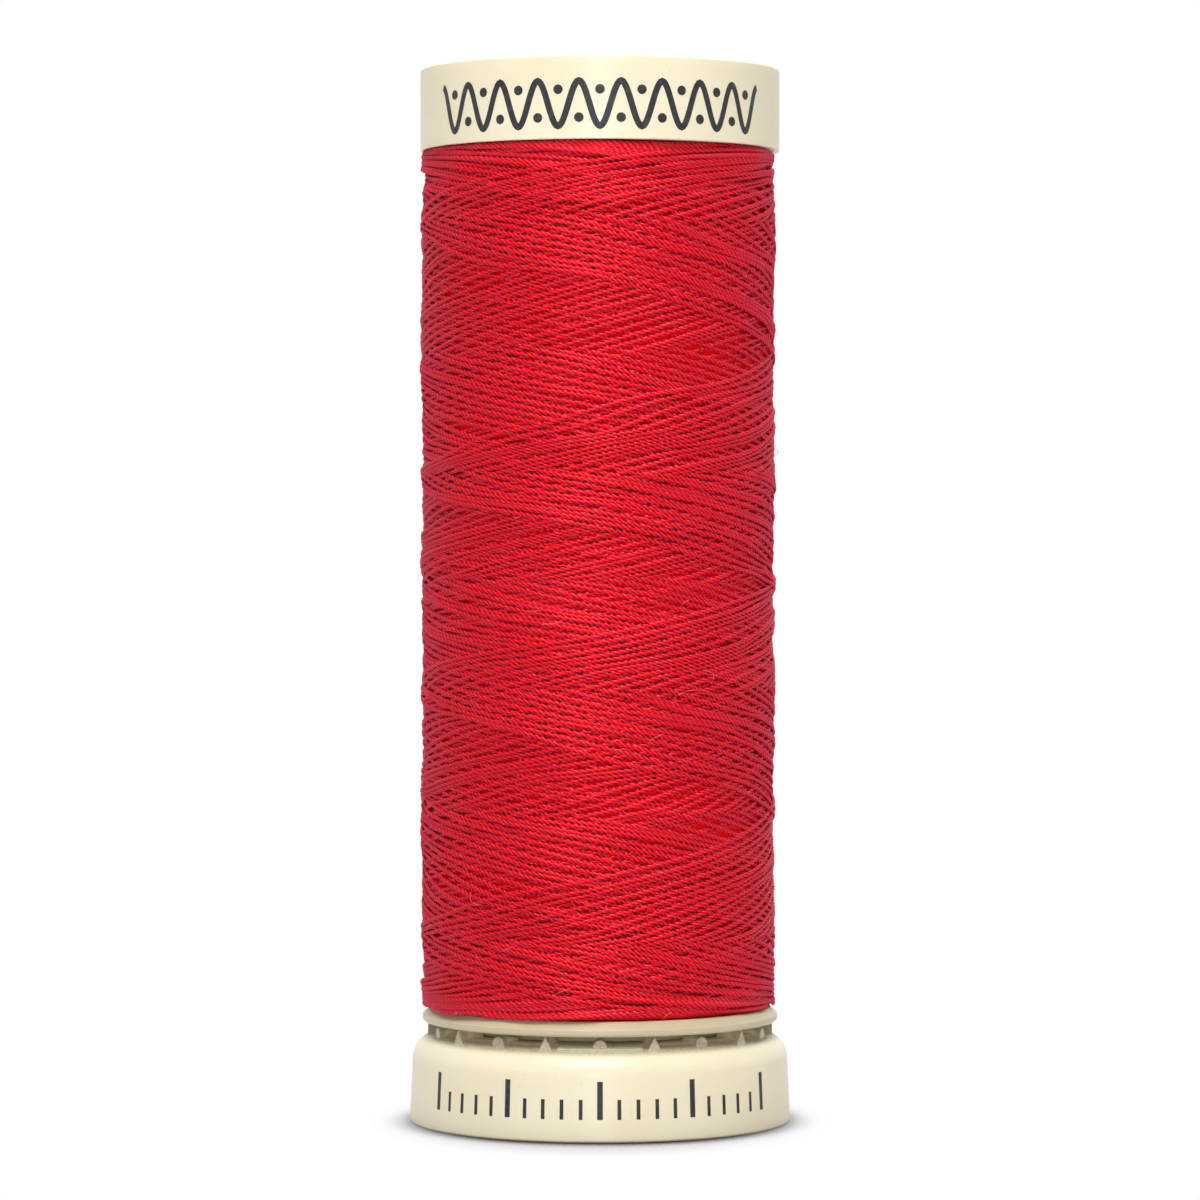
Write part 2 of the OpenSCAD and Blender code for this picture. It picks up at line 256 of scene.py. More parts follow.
def meshPiece(name, points, quads, caps=(), smooth=True, maps=None):
    # quads has four corners a face; caps are rows of more corners, all of one length
    mesh = bpy.data.meshes.new(name)
    mesh.vertices.add(len(points))
    mesh.vertices.foreach_set("co", np.asarray(points, np.float32).ravel())
    rows = [np.asarray(quads, np.int32)] + [np.asarray(c, np.int32) for c in caps if len(c)]
    corners = np.concatenate([r.ravel() for r in rows])
    sizes = np.concatenate([np.full(len(r), r.shape[1]) for r in rows])
    starts = np.concatenate([[0], np.cumsum(sizes)[:-1]])
    mesh.loops.add(len(corners))
    mesh.loops.foreach_set("vertex_index", corners)
    mesh.polygons.add(len(sizes))
    mesh.polygons.foreach_set("loop_start", starts.astype(np.int32))
    mesh.polygons.foreach_set("use_smooth", np.full(len(sizes), smooth))
    mesh.update(calc_edges=True)
    for mapName, spots in (maps or {}).items():
        layer = mesh.uv_layers.new(name=mapName)
        layer.data.foreach_set("uv", np.asarray(spots, np.float32).ravel())
    piece = bpy.data.objects.new(name, mesh)
    scene.collection.objects.link(piece)
    return piece


def gridQuads(first, rings, sides):
    # the faces of a tube, ring after ring of points
    k = np.arange(sides)
    ring = first + np.arange(rings - 1)[:, None] * sides
    a, b = ring + k, ring + (k + 1) % sides
    return np.stack([a, b, b + sides, a + sides], -1).reshape(-1, 4)


def endCaps(first, rings, sides):
    k = np.arange(sides)
    return [first + k[::-1], first + (rings - 1) * sides + k]


# lengths in millimetres
winding = dict(
    seed=11, stepsRound=720, rowHeight=0.04,
    footZ=6.72, headZ=55.28,        # lowest and highest middle of a strand
    outerRadius=10.1, firstRadius=9.3, strandIn=0.1,
    climb=[4.1, 7.35, 6.7, 6.05],   # what each half turn climbs, from either end to the middle
    curvePoints=801,
    slowTurns=0.3,                  # turns lost in slowing down at the ends
    roundTrips=58, spacing=0.385, closest=0.22, frontTurn=0.76,
    strandWidth=0.31, strandDepth=0.25,
    laidDepth=0.11, sink=0.04,      # pressed into its neighbours, a strand adds less than its depth
    proud=0.06, proudKept=0.5,      # what stands proud is pressed in by this share
    fullerSide=0.26,                # how much thicker the package is on one side
    flattest=0.3, endSpread=0.35, spreadReach=6,
    wander=0.135, wanderKept=0.82, wanderLength=7.0, wanderEase=2.5,
    sideLean=0.12, leanEase=4,      # how much steeper a strand runs at the right than at the left
    pushFrom=1.5, pushEase=2,       # from the ends on, where strands slide off each other
    underTrips=26,                  # trips over the surface that fills the gaps
    edgeRoom=0.2, rowsAside=5, evenRows=41,
    endRows=200, outerShare=0.99,   # rows left out at each end, and share kept in, to size it
    seenDepth=0.03, seenWidth=0.95, keptBeside=0.7)

ply = dict(
    count=3, pitch=1.11, outline=[(0, 1.0), (60, 0.52)],   # angle and reach of its points
    shortestRun=6, fineStrands=60,  # steps in a run, and how many strands have a ring at each step
    mostFaces=95000)


def climbCurve(w, height):
    # height above the first turn against turns made, easing off at both ends
    steps = np.array(w["climb"] + w["climb"][::-1])
    steps = steps * height / steps.sum()
    knots = np.concatenate([[0.0], np.cumsum(steps)])
    pace = np.zeros(len(knots))
    pace[1:-1] = steps[:-1] + steps[1:]
    pace[1] = pace[-2] = 2 * steps[1]
    turns = np.linspace(0, len(steps) / 2, w["curvePoints"])
    k = np.minimum((turns * 2).astype(int), len(steps) - 1)
    x = turns * 2 - k
    z = ((2 * x**3 - 3 * x**2 + 1) * knots[k] + (x**3 - 2 * x**2 + x) / 2 * pace[k]
         + (3 * x**2 - 2 * x**3) * knots[k + 1] + (x**3 - x**2) / 2 * pace[k + 1])
    return turns, z


def slowWave(random, steps, step, length):
    values = random.normal(size=int(steps * step / length) + 4)
    along = np.arange(steps) * step / length
    k = along.astype(int)
    x = along - k
    x = x * x * (3 - 2 * x)
    return values[k] * (1 - x) + values[k + 1] * x


def pulledTaut(along, support, radius):
    # a taut strand rests on the high places and spans what lies between them
    bent = support - along * along / (2 * radius)
    held = []
    for i in range(len(along)):
        while len(held) > 1:
            a, b = held[-2], held[-1]
            before, after = bent[b] - bent[a], bent[i] - bent[b]
            if before * (along[i] - along[b]) > after * (along[b] - along[a]):
                break
            held.pop()
        held.append(i)
    return np.interp(along, along[held], bent[held]) + along * along / (2 * radius)


def eased(value, length):
    return np.clip(value / length, 0, 1)


def rowsNear(w, rowZ, z):
    # the rows that a strand can cover, whether they exist, and how far aside they lie
    lowZ = w["footZ"] - w["edgeRoom"]
    reach = np.arange(-w["rowsAside"], w["rowsAside"] + 1)
    rows = np.floor((z - lowZ) / w["rowHeight"]).astype(int)[:, None] + reach
    exist = (rows >= 0) & (rows < len(rowZ))
    rows = np.clip(rows, 0, len(rowZ) - 1)
    halfWidth = w["strandWidth"] / 2 / cos(atan(w["spacing"] / 2))
    return rows, exist, (rowZ[rows] - z[:, None]) / halfWidth


def windThread(w):
    # lays every strand of the outer package on those before it
    random = np.random.default_rng(w["seed"])
    height = w["headZ"] - w["footZ"]
    curveTurns, curveZ = climbCurve(w, height)
    steps = w["stepsRound"]
    step = 2 * pi * (w["outerRadius"] - w["strandIn"]) / steps
    fullTurns = len(w["climb"])
    fullPace = height / (fullTurns - w["slowTurns"])
    drift = w["spacing"] / fullPace
    tripTurns = fullTurns - drift / 2
    rowCount = int(round((height + 2 * w["edgeRoom"]) / w["rowHeight"]))
    rowZ = w["footZ"] - w["edgeRoom"] + (np.arange(rowCount) + 0.5) * w["rowHeight"]
    surface = np.full((steps, rowCount), w["firstRadius"])
    laid = np.zeros(rowCount)
    halfDepth = w["laidDepth"] / 2
    count = int(tripTurns * steps)
    wander = {1: np.zeros(count), -1: np.zeros(count)}
    earlier = {}
    behind = int(round(drift * steps))
    strands = []
    for trip in range(w["roundTrips"]):
        # counted from the front, which is a quarter turn back from +X
        start = -0.25 - w["frontTurn"] + (w["roundTrips"] - 1 - trip) * drift
        before = surface.copy()
        if trip == w["roundTrips"] - w["underTrips"]:
            under, underLaid = surface.copy(), laid.copy()
        shortAtFoot, shortAtHead = random.uniform(0, w["endSpread"], 2)
        for way in (1, -1):
            t = (np.arange(count) + 0.5) / steps
            turn = start + t if way == 1 else start + tripTurns + t
            turnsMade = (t if way == 1 else tripTurns - t) * fullTurns / tripTurns
            climbed = np.interp(turnsMade, curveTurns, curveZ)
            wave = slowWave(random, count, step, w["wanderLength"])
            wander[way] = wander[way] * w["wanderKept"] + w["wander"] * wave
            fromEnd = np.minimum(climbed, height - climbed)
            lean = w["sideLean"] * fullPace / (2 * pi) * np.sin(turn * 2 * pi)
            climbed = climbed + way * lean * eased(fromEnd, w["leanEase"])
            z = w["footZ"] + climbed + wander[way] * eased(fromEnd, w["wanderEase"])
            z += shortAtFoot * (1 - eased(climbed, w["spreadReach"])) ** 2
            z -= shortAtHead * (1 - eased(height - climbed, w["spreadReach"])) ** 2
            pace = np.abs(np.gradient(climbed)) * steps / fullPace
            pressed = np.clip(pace, w["flattest"], 1)
            if way in earlier:
                # a strand slides off the one beside it, and the next ones follow
                close = way * (z[behind:] - earlier[way][:-behind])
                pushed = way * np.clip(w["closest"] * pressed[behind:] - close, 0, None)
                pushed *= eased(fromEnd[behind:] - w["pushFrom"], w["pushEase"])
                z[behind:] += pushed
                wander[way][behind:] += pushed
            earlier[way] = z
            rows, exist, aside = rowsNear(w, rowZ, z)
            within = exist & (np.abs(aside) < 1)
            bulge = halfDepth * pressed[:, None] * np.sqrt(np.clip(1 - aside**2, 0, 1))
            column = np.floor(turn * steps).astype(int) % steps
            columns = np.broadcast_to(column[:, None], rows.shape)
            support = np.where(within, surface[columns, rows] + bulge, 0).max(1)
            support = support - w["sink"] * pressed
            r = pulledTaut(np.arange(count) * step, support, w["outerRadius"])
            np.maximum.at(surface.reshape(-1), (columns * rowCount + rows).ravel(),
                          np.where(within, r[:, None] + bulge, 0).ravel())
            strands.append(dict(turn=turn, z=z, r=r, pressed=pressed, laid=laid.copy()))
        # the package grows outward; here it is kept at one size and what is under it sinks
        rise = (surface - before).mean(0)
        window = np.hanning(w["evenRows"])
        rise = np.convolve(rise, window, "same") / np.convolve(np.ones(rowCount), window, "same")
        surface -= rise
        laid += rise
    fuller = (w["strandDepth"] - w["laidDepth"]) / 2
    outside = np.quantile(surface[:, w["endRows"]:-w["endRows"]], w["outerShare"])
    out = w["outerRadius"] - fuller - outside
    surface += out
    under += out - (laid - underLaid)
    for strand in strands:
        strand["r"] += out - np.interp(strand["z"], rowZ, laid - strand["laid"])
        strand["kept"] = whatShows(w, strand, surface, rowZ, step)
        strand["r"] = strand["r"] - halfDepth * (1 - strand["pressed"])
        # the highest strands are pressed in by those wound over and beside them
        level = w["outerRadius"] - w["strandDepth"] / 2 - w["proud"]
        high = np.clip(strand["r"] - level, 0, None)
        strand["r"] += offCentre(w, strand["turn"] * 2 * pi) - (1 - w["proudKept"]) * high
    under += offCentre(w, (np.arange(steps) + 0.5) / steps * 2 * pi)[:, None]
    return strands, under, rowZ


def whatShows(w, strand, surface, rowZ, step):
    # the steps where a strand reaches the surface, and a little on both sides of them
    rows, _, aside = rowsNear(w, rowZ, strand["z"])
    aside = np.clip(np.abs(aside), 0, 1)
    column = np.floor(strand["turn"] * w["stepsRound"]).astype(int) % w["stepsRound"]
    bulge = w["laidDepth"] / 2 * strand["pressed"][:, None] * np.sqrt(1 - aside**2)
    high = strand["r"][:, None] + bulge > surface[column[:, None], rows] - w["seenDepth"]
    shown = (high & (aside < w["seenWidth"])).any(1)
    near = int(w["keptBeside"] / step)
    return np.convolve(shown.astype(float), np.ones(2 * near + 1), "same") > 0


def offCentre(w, angle):
    # the thread is wound a little fuller on one side
    return w["fullerSide"] * (1 - np.cos(angle)) / 2


def strandTube(w, p, turn, z, r, phase, every):
    # rings of points round a strand, twisted with its plies
    pick = np.unique(np.append(np.arange(0, len(turn), every), len(turn) - 1))
    angle = turn[pick] * 2 * pi
    middle = np.stack([r[pick] * np.cos(angle), r[pick] * np.sin(angle), z[pick]], 1)
    run = np.gradient(middle, axis=0)
    run /= np.linalg.norm(run, axis=1)[:, None]
    out = np.stack([np.cos(angle), np.sin(angle), np.zeros(len(angle))], 1)
    out -= run * (out * run).sum(1)[:, None]
    out /= np.linalg.norm(out, axis=1)[:, None]
    side = np.cross(run, out)
    along = np.linalg.norm(np.diff(middle, axis=0), axis=1)
    along = np.concatenate([[0], np.cumsum(along)])
    twist = phase + along * 2 * pi / p["pitch"]
    spokes = np.array([(radians(a + 360 * k / p["count"]), f)
                       for k in range(p["count"]) for a, f in p["outline"]])
    around = twist[:, None] + spokes[:, 0]
    outward = np.cos(around) * spokes[:, 1] * w["strandDepth"] / 2
    sideways = np.sin(around) * spokes[:, 1] * w["strandWidth"] / 2
    points = middle[:, None] + out[:, None] * outward[..., None]
    return points + side[:, None] * sideways[..., None], along


def buildThread(w, p):
    # tubes for the runs that show, the last laid first
    strands, under, rowZ = windThread(w)
    random = np.random.default_rng(w["seed"] + 1)
    tubes = []
    for age, strand in enumerate(reversed(strands)):
        kept = strand["kept"].astype(int)
        edges = np.flatnonzero(np.diff(np.concatenate([[0], kept, [0]])))
        phase = random.uniform(0, 2 * pi)
        every = 1 if age < p["fineStrands"] else 2
        for a, b in zip(edges[::2], edges[1::2]):
            if b - a > p["shortestRun"]:
                turn, z, r = (strand[k][a:b] for k in ("turn", "z", "r"))
                tubes.append(strandTube(w, p, turn, z, r, phase, every))
    return tubes, under, rowZ


tubes, under, rowZ = buildThread(winding, ply)
print("thread is wound:", len(tubes), "runs,", round(sum(along[-1] for _, along in tubes)), "mm,",
      sum(points.shape[0] * points.shape[1] for points, _ in tubes), "faces")

# the sheet that a piece's strands are laid out on to be baked, in row after row
bakeSheet = dict(runGap=0.5, rowGap=0.6, tall=1.05, margin=0.1, capAt=0.999)


def threadPiece(name, batch, sheet):
    # one map lays the strand out on the sheet, the other runs along it in millimetres
    total = sum(along[-1] + sheet["runGap"] for points, along in batch)
    rows = int(round((total / sheet["tall"]) ** 0.5))
    rowLength = total / rows
    band = 1 - 2 * sheet["margin"]
    allPoints, quads, caps, bakeMap, strandMap = [], [], [], [], []
    base, reached = 0, 0.0
    for points, along in batch:
        rings, sides = points.shape[:2]
        k = np.arange(sides)
        quads.append(gridQuads(base, rings, sides))
        caps += endCaps(base, rings, sides)
        allPoints.append(points.reshape(-1, 3))
        here, there = along[:-1, None] + 0 * k, along[1:, None] + 0 * k
        low, high = k + 0 * here, k + 1 + 0 * here
        corners = np.stack([here, low, here, high, there, high, there, low], -1).reshape(-1, 4, 2)
        strandMap.append(corners * (1, ply["count"] / sides) + (reached, 0))
        row = np.floor((reached + here) / rowLength)
        start = (reached + here - row * rowLength) / (rowLength + sheet["rowGap"])
        end = start + (there - here) / (rowLength + sheet["rowGap"])
        low = (row + sheet["margin"] + band * low / sides) / (rows + 1)
        high = (row + sheet["margin"] + band * high / sides) / (rows + 1)
        corners = np.stack([start, low, start, high, end, high, end, low], -1)
        bakeMap.append(corners.reshape(-1, 2))
        base += rings * sides
        reached += along[-1] + sheet["runGap"]
    capCorners = np.full((sum(len(c) for c in caps), 2), sheet["capAt"])
    maps = dict(OFBake=np.concatenate(bakeMap + [capCorners]),
                strandUV=np.concatenate([m.reshape(-1, 2) for m in strandMap] + [capCorners]))
    return meshPiece(name, np.concatenate(allPoints) * mm, np.concatenate(quads),
                     [np.array(caps)], maps=maps)


def threadPieces(tubes, most):
    # the runs of strand are shared out over pieces
    made = []
    batch, faces = [], 0
    for tube in tubes + [None]:
        more = tube[0].shape[0] * tube[0].shape[1] if tube else 0
        if batch and (tube is None or faces + more > most):
            made.append(threadPiece("thread_turns_%02d" % (len(made) + 1), batch, bakeSheet))
            batch, faces = [], 0
        if tube:
            batch.append(tube)
            faces += more
    return made


redThread = dict(
    dye=(srgb(250, 0, 34), srgb(236, 0, 24)), fibre=srgb(255, 12, 56),
    # the crest colour is a painted highlight, paler on the top of every ply
    crestHighlight=srgb(255, 100, 124), groove=srgb(214, 0, 12),
    # across a ply, 0 at its top and 0.5 in the groove: where each begins, and where it is full; the
    # groove colour is painted shade between the plies
    crestAt=(0.2, 0.05), grooveAt=(0.15, 0.42),
    hanks=dict(stretch=(0.12, 0.05, 1), detail=1.0, uv="strandUV"),
    fibres=dict(stretch=(2.2, 17, 1), detail=3.0, roughness=0.6, uv="strandUV"),
    fibreDepth=0.012, rough=(0.15, 0.26),
    gloss={"Metallic": 0.3, "Sheen Weight": 0.12, "Sheen Roughness": 0.4,
           "Sheen Tint": srgb(170, 0, 170)})


def threadMaterial(c):
    # three plies, each of fine lustrous fibres that follow its twist
    look = Look("red polyester thread", 0.2, 0.14)
    across = look.calc("PINGPONG", look.split(look.place(uv="strandUV"))["Y"], 0.5)
    fibres, hanks = look.pattern(**c["fibres"]), look.pattern(**c["hanks"])
    # painted highlight along the top of each ply
    crestHighlight = look.calc("MULTIPLY", look.between(across, *c["crestAt"]),
                      look.between(fibres, 0.25, 0.65, 0.25, 1.0))
    # painted shade in the grooves between the plies
    groove = look.calc("MULTIPLY", look.between(across, *c["grooveAt"]),
                       look.between(fibres, 0.25, 0.8, 1.0, 0.75))
    colour = look.mix(look.between(hanks, 0.32, 0.68), *c["dye"])
    colour = look.mix(look.between(fibres, 0.5, 0.8, 0.0, 0.3), colour, c["fibre"])
    colour = look.mix(crestHighlight, colour, c["crestHighlight"])
    colour = look.mix(groove, colour, c["groove"])
    look.give(c["gloss"])
    return look.finish(colour, look.between(fibres, 0.2, 0.8, *c["rough"]),
                       look.bump(fibres, c["fibreDepth"]))


underLayers = dict(
    columns=160, rows=580, rowsLeft=4, boreRadius=8.02, deeper=0.1,
    dye=(srgb(246, 0, 12), srgb(230, 0, 9)),
    fuzz=dict(stretch=(0.6, 0.6, 5)), fuzzDepth=0.03, rough=(0.5, 0.7))


def underMaterial(u):
    look = Look("thread in the gaps", 0.6, 0.1)
    fuzz = look.pattern(**u["fuzz"])
    colour = look.mix(look.between(fuzz, 0.3, 0.7), *u["dye"])
    return look.finish(colour, look.between(fuzz, 0.2, 0.8, *u["rough"]),
                       look.bump(fuzz, u["fuzzDepth"]))


def layersUnder(u, under, rowZ):
    # the earlier turns as one closed body, down to the tube
    columns, rows = u["columns"], u["rows"]
    picked = np.linspace(0, len(under), columns, endpoint=False).astype(int)
    z = np.linspace(rowZ[u["rowsLeft"]], rowZ[-1 - u["rowsLeft"]], rows)
    outer = np.stack([np.interp(z, rowZ, under[c]) for c in picked]) - u["deeper"]
    bore = np.full((columns, 1), u["boreRadius"])
    radius = np.concatenate([bore, outer, bore], 1)
    z = np.concatenate([z[:1], z, z[-1:]])
    rows += 2
    angle = (picked + 0.5) / len(under) * 2 * pi
    points = np.stack([radius * np.cos(angle)[:, None], radius * np.sin(angle)[:, None],
                       np.broadcast_to(z, radius.shape)], -1)
    a = np.arange(columns)[:, None] * rows + np.arange(rows)
    b = np.roll(a, -1, 0)
    above = np.roll(np.arange(rows), -1)
    quads = np.stack([a, b, b[:, above], a[:, above]], -1).reshape(-1, 4)
    left = (np.arange(columns)[:, None] + 0 * np.arange(rows)) / columns
    low = (np.arange(rows) + 0 * np.arange(columns)[:, None]) / rows
    right, high = left + 1 / columns, low + 1 / rows
    bakeMap = np.stack([left, low, right, low, right, high, left, high], -1).reshape(-1, 2)
    piece = meshPiece("thread_under_layers", points.reshape(-1, 3) * mm, quads,
                      maps=dict(OFBake=bakeMap))
    piece.data.materials.append(underMaterial(u))
    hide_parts("thread_inner_layers")
    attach(piece, "spool")


threadLook = threadMaterial(redThread)
layersUnder(underLayers, under, rowZ)
for piece in threadPieces(tubes, ply["mostFaces"]):
    piece.data.materials.append(threadLook)
    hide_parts("thread_outer_turns", "thread_inner_layers")
    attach(piece, "spool")
print("thread is laid")

looseFibres = dict(
    count=26, seed=5, radius=0.014, length=(0.7, 1.9), heights=(8, 54),
    slant=0.5, bend=2.6,
    sunk=0.06, lift=0.16, liftSpread=(0.6, 1.2), dip=1.15,  # the tip dips back to the thread
    thinner=0.6, sides=5, rings=22,
    # degrees from the front, height and length
    placed=[(29.6, 29.96, 0.7), (-27.7, 34.5, 0.5), (-22.5, 31.3, 0.9), (23.2, 7.1, 0.8)],
    colours=(srgb(250, 128, 132), srgb(232, 60, 74)),
    shine=dict(stretch=(3, 3, 3)), shineDepth=0.004, rough=(0.3, 0.5))


def fibreMaterial(f):
    look = Look("loose fibre", 0.35)
    shine = look.pattern(**f["shine"])
    return look.finish(look.mix(look.between(shine, 0.3, 0.7), *f["colours"]),
                       look.between(shine, 0.2, 0.8, *f["rough"]),
                       look.bump(shine, f["shineDepth"]))


def layFibres(f, w):
    # short ends of fibre that have worked loose and curl off the surface
    random = np.random.default_rng(f["seed"])
    spots = [(radians(a - 90), z, length) for a, z, length in f["placed"]]
    while len(spots) < f["count"]:
        spots.append((random.uniform(0, 2 * pi), random.uniform(*f["heights"]),
                      random.uniform(*f["length"])))
    allPoints, quads, caps = [], [], []
    sides, rings = f["sides"], f["rings"]
    around = np.arange(sides) * 2 * pi / sides
    t = np.linspace(0, 1, rings)
    for angle, z, length in spots:
        heading = random.uniform(-f["slant"], f["slant"]) + pi * random.integers(0, 2)
        heading = heading + random.uniform(-1, 1) * f["bend"] * t * t
        step = length / rings
        x = np.cumsum(np.cos(heading)) * step
        y = np.cumsum(np.sin(heading)) * step
        lifted = f["lift"] * np.sin(pi * np.clip(t * f["dip"], 0, 1))
        lifted = lifted * random.uniform(*f["liftSpread"])
        a = angle + x / w["outerRadius"]
        r = w["outerRadius"] - f["sunk"] + lifted + offCentre(w, a)
        middle = np.stack([r * np.cos(a), r * np.sin(a), z + y], 1)
        run = np.gradient(middle, axis=0)
        run /= np.linalg.norm(run, axis=1)[:, None]
        out = np.stack([np.cos(a), np.sin(a), 0 * a], 1)
        side = np.cross(run, out)
        side /= np.linalg.norm(side, axis=1)[:, None]
        out = np.cross(side, run)
        radius = (f["radius"] * (1 - f["thinner"] * t**3))[:, None, None]
        ring = out[:, None] * np.cos(around)[:, None] + side[:, None] * np.sin(around)[:, None]
        base = len(allPoints) * rings * sides
        quads.append(gridQuads(base, rings, sides))
        caps += endCaps(base, rings, sides)
        allPoints.append((middle[:, None] + ring * radius).reshape(-1, 3))
    piece = meshPiece("loose_fibres", np.concatenate(allPoints) * mm, np.concatenate(quads),
                      [np.array(caps)])
    piece.data.materials.append(fibreMaterial(f))
    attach(piece, "spool")


layFibres(looseFibres, winding)
print("loose fibres are laid")

moulding = dict(
    clouds=dict(stretch=(0.16, 0.16, 0.3), detail=3.0),
    specks=dict(stretch=(5, 5, 5), detail=1.0), speck=srgb(206, 196, 158),
    grain=dict(stretch=(3, 3, 3)),
    # the pale edge colour is a painted highlight
    edgeHighlight=srgb(254, 252, 238), edgeRadius=0.09, edgeTurn=(0.99, 0.86), edgeRougher=0.1,
    rough=(0.29, 0.34),
    # painted shade under the flange: its colour, then the radii and heights of the ring it covers
    flangeShade=srgb(150, 138, 110), shadeOuter=(10.4, 9.8), shadeInner=(9.0, 9.5), shadeZ=(4.5, 4.9),
    depth={"Subsurface Weight": 0.12, "Subsurface Radius": (1.0, 0.85, 0.55),
           "Subsurface Scale": 0.6 * mm})


def edgeMask(look, m, soft):
    # how far the rounded normal turns away from the moulding's own
    turned = look.add("VectorMath", operation="DOT_PRODUCT")
    look.link(soft, turned.inputs[0])
    look.link(look.add("NewGeometry").outputs["Normal"], turned.inputs[1])
    return look.between(turned.outputs["Value"], *m["edgeTurn"])


def underFlangeShade(look, m):
    # painted shade: the teeth and the deck between them, under the flange, are painted darker
    x, y, z = look.split(look.place())
    across = look.calc("SQRT", look.calc("ADD", look.calc("POWER", x, 2.0),
                                         look.calc("POWER", y, 2.0)))
    zone = look.calc("MULTIPLY", look.between(across, *m["shadeOuter"]),
                     look.between(across, *m["shadeInner"]))
    return look.calc("MULTIPLY", zone, look.between(z, *m["shadeZ"]))


def plasticMaterial(m, name, clear, worn, grainDepth, shadedUnderFlange):
    # cream plastic: faint flow clouds, fine specks, a soft grain, a painted highlight on the edges,
    # and, where asked, painted shade under the flange
    look = Look(name, 0.3, 0.5)
    clouds, specks = look.pattern(**m["clouds"]), look.pattern(**m["specks"])
    soft = look.add("Bevel", samples=8)
    look.link(m["edgeRadius"] * mm, soft.inputs["Radius"])
    edge = edgeMask(look, m, soft.outputs[0])
    colour = look.mix(look.between(clouds, 0.2, 0.8), clear, worn)
    colour = look.mix(look.between(specks, 0.68, 0.8, 0.0, 0.25), colour, m["speck"])
    if shadedUnderFlange:
        # painted shade on the teeth and deck under the flange, mottled by the specks
        shadeMask = look.calc("MULTIPLY", underFlangeShade(look, m),
                           look.between(specks, 0.3, 0.7, 0.55, 0.75))
        colour = look.mix(shadeMask, colour, m["flangeShade"])
    # painted highlight on the edges, broken up by the specks
    edgeHighlight = look.calc("MULTIPLY", edge, look.between(specks, 0.3, 0.6, 0.1, 0.5))
    colour = look.mix(edgeHighlight, colour, m["edgeHighlight"])
    roughness = look.calc("ADD", look.between(clouds, 0.2, 0.8, *m["rough"]),
                          look.calc("MULTIPLY", edge, m["edgeRougher"]))
    look.give(m["depth"])
    grain = look.bump(look.pattern(**m["grain"]), grainDepth, soft.outputs[0])
    return look.finish(colour, roughness, grain)


# clear and worn colour, depth of the grain, and whether painted shade darkens the teeth and deck
# under the flange
plastics = dict(
    snap_foot=(srgb(246, 238, 207), srgb(242, 232, 197), 0.003, True),
    # the core tube is painted darker than the cap and foot, as shade on its flange
    core_tube=(srgb(207, 196, 163), srgb(198, 186, 151), 0.004, False),
    head_cap=(srgb(245, 235, 204), srgb(240, 229, 194), 0.003, False))

for node, finish in plastics.items():
    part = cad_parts[node]
    part.data.materials.clear()
    name = node.replace("_", " ") + " plastic"
    part.data.materials.append(plasticMaterial(moulding, name, *finish))
print("plastics are set")

ink = dict(thickness=0.014, sunk=0.006, spacing=0.25, wall=10.3, dotSides=16,
           colours=(srgb(38, 39, 44), srgb(62, 61, 62)), rough=(0.38, 0.55), wearDepth=0.004,
           wear=dict(stretch=(2.5, 2.5, 2.5), detail=3.0, roughness=0.6))
capPrint = dict(low=56.1, high=58.6, pitch=2.35, repeats=9, line=0.36, knot=0.62, dot=0.27,
                pointsEach=24)
footPrint = dict(middle=2.35, pitch=1.02, reach=10, short=1.1, long=2.1, thin=0.2, thick=0.3,
                 longEvery=5)


def wallRadius(node):
    # how far out the moulding's wall stands, at an angle and a height
    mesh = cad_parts[node].data
    tree = BVHTree.FromPolygons([v.co for v in mesh.vertices],
                                [list(p.vertices) for p in mesh.polygons])
    clear = 20 * mm  # well outside the wall

    def radius(angle, z):
        toward = Vector((cos(angle), sin(angle), 0))
        hit = tree.ray_cast(toward * clear + Vector((0, 0, z * mm)), -toward)
        return hit[0].xy.length / mm
    return radius


def stroke(points, width, spacing):
    # both sides of a pen stroke through flat points, with mitred corners
    path = [np.array(points[0], float)]
    for p, q in zip(points, points[1:]):
        p, q = np.array(p, float), np.array(q, float)
        pieces = max(1, int(np.ceil(np.linalg.norm(q - p) / spacing)))
        path += [p + (q - p) * (i + 1) / pieces for i in range(pieces)]
    path = np.array(path)
    runs = np.diff(path, axis=0)
    runs /= np.linalg.norm(runs, axis=1)[:, None]
    before, after = np.vstack([runs[:1], runs]), np.vstack([runs, runs[-1:]])
    along = before + after
    along /= np.linalg.norm(along, axis=1)[:, None]
    out = np.stack([-along[:, 1], along[:, 0]], 1) * width / 2
    out /= (along * before).sum(1)[:, None]
    return path + out, path - out


def inkMaterial(name):
    look = Look(name, 0.45, 0.35)
    worn = look.pattern(**ink["wear"])
    return look.finish(look.mix(look.between(worn, 0.45, 0.75), *ink["colours"]),
                       look.between(worn, 0.3, 0.7, *ink["rough"]),
                       look.bump(worn, ink["wearDepth"]))


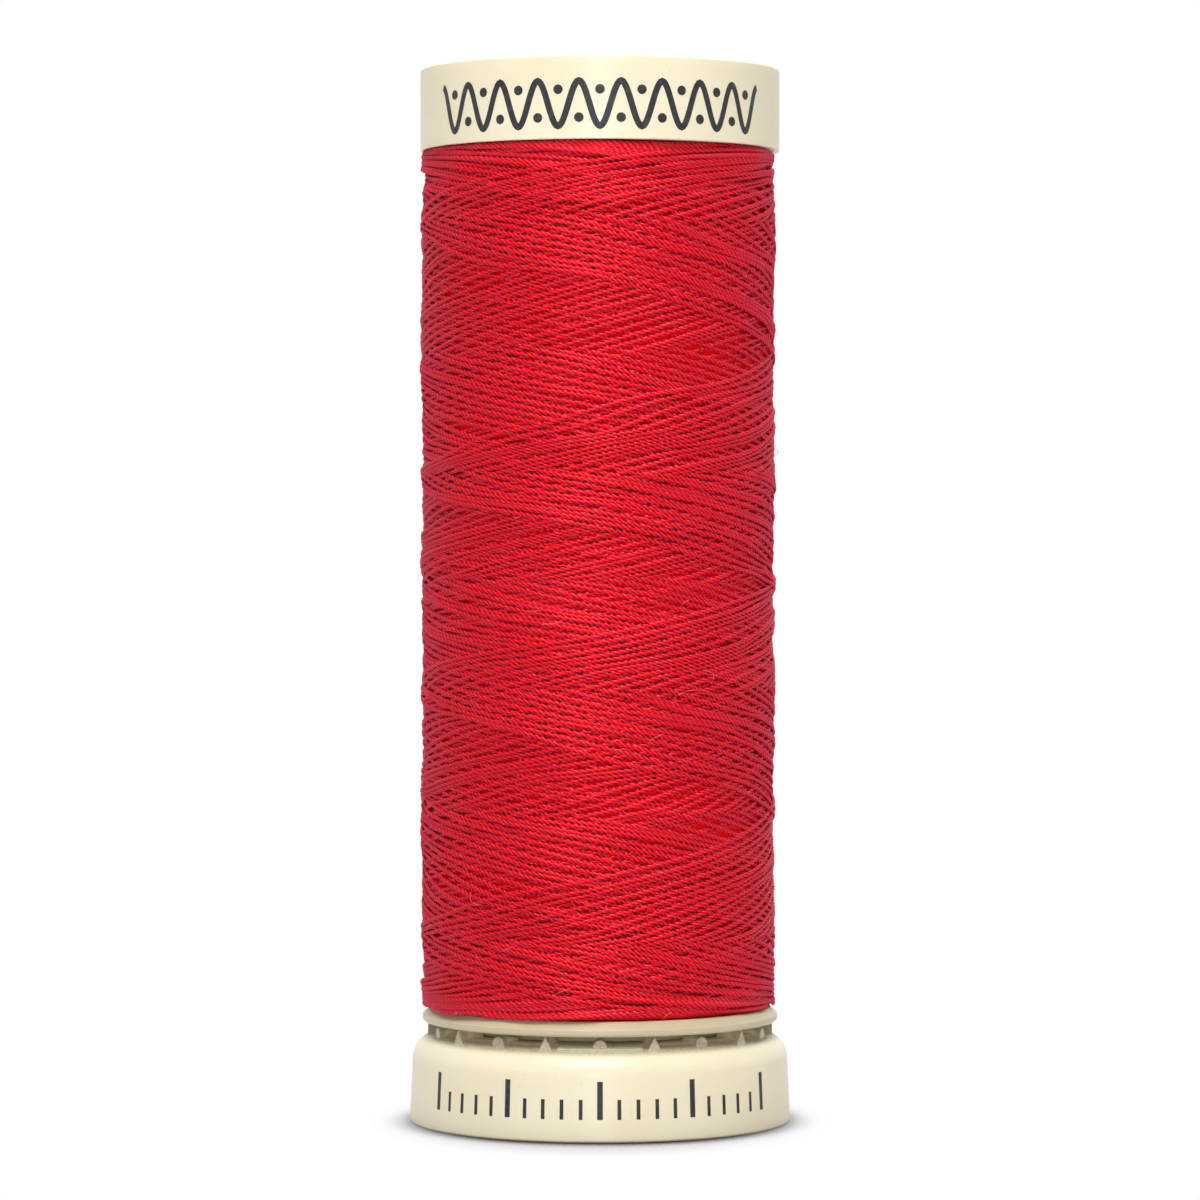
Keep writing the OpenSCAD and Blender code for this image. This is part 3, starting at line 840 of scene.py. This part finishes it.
def printPiece(name, node, body, strokes, dots):
    # thin closed ink film that follows the wall
    radius = wallRadius(node)
    points, quads, caps = [], [], []

    def put(flat, level):
        angle = -pi / 2 + flat[0] / ink["wall"]
        r = radius(angle, flat[1]) + level
        points.append((r * cos(angle), r * sin(angle), flat[1]))
        return len(points) - 1

    top, bottom = ink["thickness"] - ink["sunk"], -ink["sunk"]
    for left, right in strokes:
        rows = [[put(b, top), put(a, top), put(a, bottom), put(b, bottom)]
                for a, b in zip(left, right)]
        for p, q in zip(rows, rows[1:]):
            quads += [(p[k], q[k], q[(k + 1) % 4], p[(k + 1) % 4]) for k in range(4)]
        quads += [tuple(rows[0]), tuple(rows[-1][::-1])]
    sides = ink["dotSides"]
    for (x, z), size in dots:
        spokes = [(x + size * cos(a), z + size * sin(a)) for a in np.arange(sides) * 2 * pi / sides]
        high, low = [put(p, top) for p in spokes], [put(p, bottom) for p in spokes]
        quads += [(high[k], low[k], low[(k + 1) % sides], high[(k + 1) % sides])
                  for k in range(sides)]
        caps += [high, low[::-1]]
    piece = meshPiece(name, np.array(points) * mm, quads, [caps] if caps else [], smooth=False)
    piece.data.materials.append(inkMaterial(name.replace("_", " ") + " ink"))
    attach(piece, body)


def printCap(c):
    # a rickrack wave with a knot in each bend
    half = c["repeats"] * c["pitch"] / 2
    middle, rise = (c["low"] + c["high"]) / 2, (c["high"] - c["low"]) / 2
    x = np.linspace(-half, half, c["pointsEach"] * c["repeats"] + 1)
    wave = np.stack([x, middle + rise * np.cos((x + half) * 2 * pi / c["pitch"])], 1)
    knots = [((-half + i * c["pitch"] / 2, middle - rise * c["knot"] * (-1) ** i), c["dot"])
             for i in range(1, 2 * c["repeats"])]
    printPiece("cap_wave_print", "head_cap", "spool", [stroke(wave, c["line"], 1.0)], knots)


def printFoot(f):
    # a plain scale of graduation lines
    lines = []
    low = f["middle"] - f["long"] / 2
    for i in range(-f["reach"], f["reach"] + 1):
        main = i % f["longEvery"] == 0
        tall, width = (f["long"], f["thick"]) if main else (f["short"], f["thin"])
        ends = [(i * f["pitch"], low), (i * f["pitch"], low + tall)]
        lines.append(stroke(ends, width, ink["spacing"]))
    printPiece("foot_scale_print", "snap_foot", "foot", lines, [])


printCap(capPrint)
printFoot(footPrint)
print("marks are printed")
